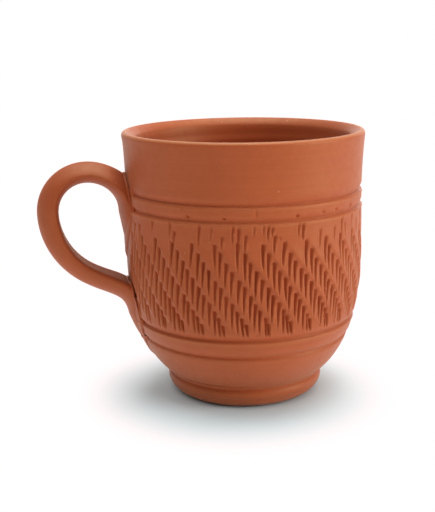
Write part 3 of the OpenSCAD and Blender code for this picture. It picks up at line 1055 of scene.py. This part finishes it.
def new_group(name, inputs, outputs):
    group = bpy.data.node_groups.new(name, "ShaderNodeTree")
    for way, sockets in (("INPUT", inputs), ("OUTPUT", outputs)):
        for socket, kind in sockets:
            group.interface.new_socket(name=socket, in_out=way, socket_type=kind)
    return group


def fill_sockets(tree, node, values):
    """Gives each named input of a node a constant, or a link from another node's output."""
    for socket, value in values.items():
        if isinstance(value, bpy.types.NodeSocket):
            tree.links.new(value, node.inputs[socket])
        else:
            node.inputs[socket].default_value = value


def noise(tree, vector, scale, detail, rough=0.55):
    made = tree.nodes.new("ShaderNodeTexNoise")
    fill_sockets(tree, made, {"Vector": vector, "Scale": scale, "Detail": detail, "Roughness": rough})
    return made.outputs["Fac"]


def remap(tree, value, low, high, to_low=0.0, to_high=1.0, way="LINEAR"):
    made = tree.nodes.new("ShaderNodeMapRange")
    made.interpolation_type = way
    ends = {"From Min": low, "From Max": high, "To Min": to_low, "To Max": to_high}
    fill_sockets(tree, made, {"Value": value, **ends})
    return made.outputs["Result"]


def math_node(tree, operation, a, b):
    made = tree.nodes.new("ShaderNodeMath")
    made.operation = operation
    fill_sockets(tree, made, {0: a, 1: b})
    return made.outputs["Value"]


def vector_node(tree, operation, vector, constant=(0, 0, 0)):
    made = tree.nodes.new("ShaderNodeVectorMath")
    made.operation = operation
    fill_sockets(tree, made, {0: vector, 1: constant})
    return made.outputs["Value" if operation in ("LENGTH", "DOT_PRODUCT") else "Vector"]


def mask_node(tree, name):
    made = tree.nodes.new("ShaderNodeAttribute")
    made.attribute_name = name
    return made.outputs["Fac"]


def mix_colour(tree, factor, a, b):
    made = tree.nodes.new("ShaderNodeMix")
    made.data_type = "RGBA"
    fill_sockets(tree, made, {0: factor, 6: a, 7: b})
    return made.outputs[2]


def specks(tree, place, scale, share, size):
    """Mask of scattered specks: the cells' scale, the share that hold one, and its size in the cell."""
    cells = tree.nodes.new("ShaderNodeTexVoronoi")
    fill_sockets(tree, cells, {"Vector": place, "Scale": scale})
    apart = tree.nodes.new("ShaderNodeSeparateColor")
    fill_sockets(tree, apart, {"Color": cells.outputs["Color"]})
    chosen = math_node(tree, "LESS_THAN", apart.outputs["Red"], share)
    spot = remap(tree, cells.outputs["Distance"], size, size * 0.5)
    return math_node(tree, "MULTIPLY", chosen, spot)


# Tones of a clay's paler and darker places, and of its painted highlight with some wear, as shares of its
# red, green and blue; the darker tone also paints shade into cuts
PALE = (1.1, 1.22, 1.35)
DARK = (0.72, 0.6, 0.52)
WEAR_AND_HIGHLIGHT_TONE = (1.05, 1.62, 1.9)

# Scales of the mottling, clouds and grain, and stretch of the wheel lines
MOTTLE_SCALE = 55
CLOUD_SCALE = 380
GRAIN_SCALE = 2400
LINE_STRETCH = (12, 12, 1400)

# Pale and dark specks: scale of their cells, share of cells that hold one, size in the cell, strength, colour
SPECKS = (
    (420, 0.1, 0.11, 0.8, (0.6, 0.3, 0.16, 1)),
    (300, 0.045, 0.1, 0.75, (0.12, 0.04, 0.02, 1)),
)

# Surface: range of roughness, how much rougher cut clay is, the clouds' share of the bump, coat and sheen
ROUGHNESS = (0.48, 0.58)
CUT_ROUGH = 0.35
CLOUD_HEIGHT = 0.6
BUMP = {"Strength": 0.22, "Distance": 0.08 * MM}
COAT = 0.07
SURFACE = {
    "Specular Tint": (1, 1.125, 0.6, 1),
    "Sheen Weight": 0.095,
    "Sheen Roughness": 0.5,
    "Sheen Tint": (1, 1.15, 0.8, 1),
    "Coat Weight": COAT,
    "Coat Roughness": 0.48,
}


def clay_group():
    """Colour, roughness and height of fired clay: mottling, clouds, sandy grain, wheel lines and specks."""
    group = new_group(
        "fired_clay",
        (("Clay", COLOUR), ("Pale", COLOUR), ("Dark", COLOUR), ("Wheel lines", NUMBER)),
        (("Color", COLOUR), ("Roughness", NUMBER), ("Height", NUMBER)),
    )
    ins = group.nodes.new("NodeGroupInput")
    outs = group.nodes.new("NodeGroupOutput")
    place = group.nodes.new("ShaderNodeTexCoord").outputs["Object"]
    clay, pale, dark = (ins.outputs[name] for name in ("Clay", "Pale", "Dark"))
    slow = noise(group, place, MOTTLE_SCALE, 2)
    medium = noise(group, place, CLOUD_SCALE, 3)
    grain = noise(group, place, GRAIN_SCALE, 2, 0.7)
    lines = noise(group, vector_node(group, "MULTIPLY", place, LINE_STRETCH), 1, 2)
    lines = math_node(group, "MULTIPLY", lines, ins.outputs["Wheel lines"])
    colour = clay
    for mask, low, high, share, tone in (
        (slow, 0.35, 0.75, 0.35, pale),
        (medium, 0.45, 0.85, 0.2, dark),
        (grain, 0.35, 0.75, 0.28, dark),
        (lines, 0.4, 0.75, 0.22, dark),
    ):
        colour = mix_colour(group, remap(group, mask, low, high, 0, share), colour, tone)
    for scale, share, size, strength, tone in SPECKS:
        spots = math_node(group, "MULTIPLY", specks(group, place, scale, share, size), strength)
        colour = mix_colour(group, spots, colour, tone)
    roughness = remap(group, medium, 0.3, 0.7, *ROUGHNESS)
    height = math_node(group, "ADD", grain, math_node(group, "MULTIPLY", medium, CLOUD_HEIGHT))
    height = math_node(group, "ADD", height, lines)
    fill_sockets(group, outs, {"Color": colour, "Roughness": roughness, "Height": height})
    return group


def toned(clay, tone):
    """A clay's colour with its red, green and blue multiplied by a tone."""
    return (*(part * share for part, share in zip(clay, tone)), 1)


def clay_material(name, group, clay, gloss, wheel_lines=0.0, shade_share=0.0, wear_and_highlight_share=0.0, shade_tone=DARK):
    """One clay, whose colour sets its other tones. The cut mask makes places rough and paints shade into
    them; the other mask paints a paler highlight, with some wear.
    """
    material, tree, shader = new_material(name)
    clay_node = tree.nodes.new("ShaderNodeGroup")
    clay_node.node_tree = group
    tones = {"Clay": (*clay, 1), "Pale": toned(clay, PALE), "Dark": toned(clay, DARK)}
    fill_sockets(tree, clay_node, {**tones, "Wheel lines": wheel_lines})
    fill_sockets(tree, shader, {**SURFACE, "Specular IOR Level": gloss})
    colour = clay_node.outputs["Color"]
    roughness = clay_node.outputs["Roughness"]
    if shade_share:
        # Painted shade where the cut mask is set, which also makes the clay rougher and takes off its coat
        cut = mask_node(tree, "cut")
        colour = mix_colour(tree, math_node(tree, "MULTIPLY", cut, shade_share), colour, toned(clay, shade_tone))
        tree.links.new(remap(tree, cut, 0, 1, COAT, 0), shader.inputs["Coat Weight"])
        roughness = math_node(tree, "ADD", roughness, math_node(tree, "MULTIPLY", cut, CUT_ROUGH))
    # Painted highlight, with some wear, where the second mask is set
    if wear_and_highlight_share:
        wear_and_highlight = math_node(tree, "MULTIPLY", mask_node(tree, "wear_and_highlight"), wear_and_highlight_share)
        colour = mix_colour(tree, wear_and_highlight, colour, toned(clay, WEAR_AND_HIGHLIGHT_TONE))
    bump = tree.nodes.new("ShaderNodeBump")
    fill_sockets(tree, bump, {**BUMP, "Height": clay_node.outputs["Height"]})
    links = {"Base Color": colour, "Roughness": roughness, "Normal": bump.outputs["Normal"]}
    fill_sockets(tree, shader, links)
    return material


def dress(piece, material, slot, *nodes):
    piece.data.materials.clear()
    piece.data.materials.append(material)
    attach(piece, BODY)
    if nodes:
        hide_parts(*nodes)


body = thrown_body()
handle = pulled_handle()
upper_loop, lower_loop = sorted(seat_loops(handle), key=lambda loop: -loop[:, 2].max())
upper_bead = slip_bead("upper_slip_bead", upper_loop, *UPPER_BEAD)
lower_bead = slip_bead("lower_slip_bead", lower_loop, *LOWER_BEAD)
foot = turned_foot()
luting = foot_luting()

# Clays: gloss, wheel lines, share of the painted shade tone, share of the painted highlight tone, and the
# painted shade tone itself
CLAY = (0.4475, 0.0815, 0.0222)
DAMP_CLAY = (0.408, 0.0725, 0.0197)
# Painted shade tone of the handle's inner face and upper joint
FACE_SHADE_TONE = (0.5, 0.42, 0.4)
clay = clay_group()
THROWN = clay_material("fired_thrown", clay, CLAY, 0.445, 1.0, 0.3, 0.8)
PULLED = clay_material("fired_pulled", clay, DAMP_CLAY, 0.425, 0.0, 0.6, 0.0, FACE_SHADE_TONE)
FOOTED = clay_material("fired_foot", clay, CLAY, 0.445, 0.6)
SLIP = clay_material("fired_slip", clay, DAMP_CLAY, 0.3)

dress(body, THROWN, "thrown_clay", "cup_body")
dress(handle, PULLED, "pulled_clay", "handle")
dress(foot, FOOTED, "foot_clay", "foot_disc")
dress(luting, FOOTED, "luting_slip", "foot_slip")
dress(upper_bead, SLIP, "luting_slip")
dress(lower_bead, SLIP, "luting_slip")
for name in ("upper_handle_slip", "lower_handle_slip"):
    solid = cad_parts[name]
    solid.data.materials.clear()
    solid.data.materials.append(SLIP)

# Stage: floor that takes the cup's shade, with painted light in its glow: faint round the cup to lift the
# shade, none at the foot's edge for a dark contact line, and even white further out, which sets where the
# shadow ends
FRONT_WAY = (cos(FRONT * DEG), sin(FRONT * DEG), 0)
SHADE_SHIFT = 6.8 * MM
SHADE_ANGLE = 241 * DEG
SHADE_NEAR = 30 * MM
SHADE_FAR = 60 * MM
CONTACT_NEAR = 24 * MM
CONTACT_FAR = 27.5 * MM
# Paper tinted blue-green to cancel the red light that the cup throws on it, and a little red further out
FLOOR_COLOUR = (0.63, 0.725, 0.74, 1)
FLOOR_GLOW = (0.105, 0.13, 0.135, 1)
FLOOR_FAR_COLOUR = (0.1, 0, 0, 1)
FLOOR_SIZE = 6


def floor_material():
    """Pale paper that takes the cup's shadow; its glow paints light into that shade and turns it to even
    white beyond.
    """
    material, tree, shader = new_material("pale_floor")
    place = tree.nodes.new("ShaderNodeTexCoord").outputs["Object"]
    shade_middle = (SHADE_SHIFT * cos(SHADE_ANGLE), SHADE_SHIFT * sin(SHADE_ANGLE), 0)
    away = vector_node(tree, "LENGTH", vector_node(tree, "SUBTRACT", place, shade_middle))
    white = remap(tree, away, SHADE_NEAR, SHADE_FAR, 0, 1, "SMOOTHSTEP")
    # Painted light: the glow is left off at the foot's edge, which paints a dark contact line, and turns
    # white from the shade's near to far distance round a middle set off to the front and left
    contact = remap(tree, vector_node(tree, "LENGTH", place), CONTACT_NEAR, CONTACT_FAR)
    glow = mix_colour(tree, contact, (0, 0, 0, 1), FLOOR_GLOW)
    colour = mix_colour(tree, white, FLOOR_COLOUR, FLOOR_FAR_COLOUR)
    light = mix_colour(tree, white, glow, (1, 1, 1, 1))
    fill_sockets(tree, shader, {"Base Color": colour, "Emission Color": light, "Emission Strength": 1})
    fill_sockets(tree, shader, {"Specular IOR Level": 0, "Roughness": 0.9})
    return material


deselect_all()
bpy.ops.mesh.primitive_plane_add(size=FLOOR_SIZE, location=(0, 0, 0))
paper = bpy.context.object
paper.name = "floor"
paper.data.materials.append(floor_material())

# Camera at the photograph's place, turned about the axis so that the handle lies along -X
CAMERA_BACK = 339.8 * MM
CAMERA_UP = 129.2 * MM
CAMERA_PITCH = 13.481 * DEG
CAMERA_YAW = -1.575 * DEG
CAMERA_ROLL = -0.802 * DEG
CAMERA_TURN = -12 * DEG
FOCAL_PX = 978.8
FRAME_PX = 512
SENSOR = 36


def add_camera():
    ahead = cos(CAMERA_PITCH)
    forward = Vector((sin(CAMERA_YAW) * ahead, cos(CAMERA_YAW) * ahead, -sin(CAMERA_PITCH)))
    level = Vector((cos(CAMERA_YAW), -sin(CAMERA_YAW), 0))
    up = level.cross(forward)
    right = cos(CAMERA_ROLL) * level + sin(CAMERA_ROLL) * up
    upright = cos(CAMERA_ROLL) * up - sin(CAMERA_ROLL) * level
    turn = Matrix.Rotation(CAMERA_TURN, 3, "Z")
    axes = Matrix((turn @ right, turn @ upright, turn @ -forward)).transposed()
    data = bpy.data.cameras.new("photo_camera")
    data.sensor_width = SENSOR
    data.lens = FOCAL_PX / FRAME_PX * SENSOR
    data.clip_start = 0.01
    camera = add_object("photo_camera", data)
    camera.matrix_world = Matrix.Translation(turn @ Vector((0, -CAMERA_BACK, CAMERA_UP))) @ axes.to_4x4()
    bpy.context.scene.camera = camera


add_camera()


def add_softbox(name, angle, distance, height, size, power):
    """A white panel at an angle round the cup, aimed at its middle and hidden from the camera."""
    data = bpy.data.lights.new(name, "AREA")
    data.shape = "RECTANGLE"
    data.size, data.size_y = size
    data.energy = power
    light = add_object(name, data)
    light.location = (distance * cos(angle * DEG), distance * sin(angle * DEG), height)
    aim = Vector((0, 0, CUP_H / 2)) - light.location
    light.rotation_euler = aim.to_track_quat("-Z", "Y").to_euler()
    light.visible_camera = False


# Panels: angle round the cup, then distance, height, width and length in metres, and power in watts
add_softbox("back_panel", 72, 0.98, 0.19, (1.1, 0.55), 3.8)
add_softbox("right_panel", 331, 0.98, 0.3, (0.425, 0.53), 5.1)
add_softbox("key_panel", 312, 0.98, 0.4, (0.3, 0.4), 0.225)
add_softbox("top_panel", 45, 0.07, 1.05, (1.0, 1.0), 11.575)


def add_world(dark_side, light_side):
    """White behind everything. As a light it is dim in front of the cup and brighter high up behind it."""
    world = bpy.data.worlds.new("studio")
    world.use_nodes = True
    tree = world.node_tree
    backdrop = tree.nodes["Background"]
    bright_way = (Vector((0, 0, 1)) - Vector(FRONT_WAY)).normalized()
    place = tree.nodes.new("ShaderNodeTexCoord").outputs["Generated"]
    glow = remap(tree, vector_node(tree, "DOT_PRODUCT", place, bright_way), -1, 1, dark_side, light_side)
    seen = tree.nodes.new("ShaderNodeLightPath").outputs["Is Camera Ray"]
    strength = math_node(tree, "MAXIMUM", glow, seen)
    fill_sockets(tree, backdrop, {"Color": (1, 1, 1, 1), "Strength": strength})
    bpy.context.scene.world = world


add_world(dark_side=0.04, light_side=0.45)
bpy.context.scene.view_settings.view_transform = "Standard"
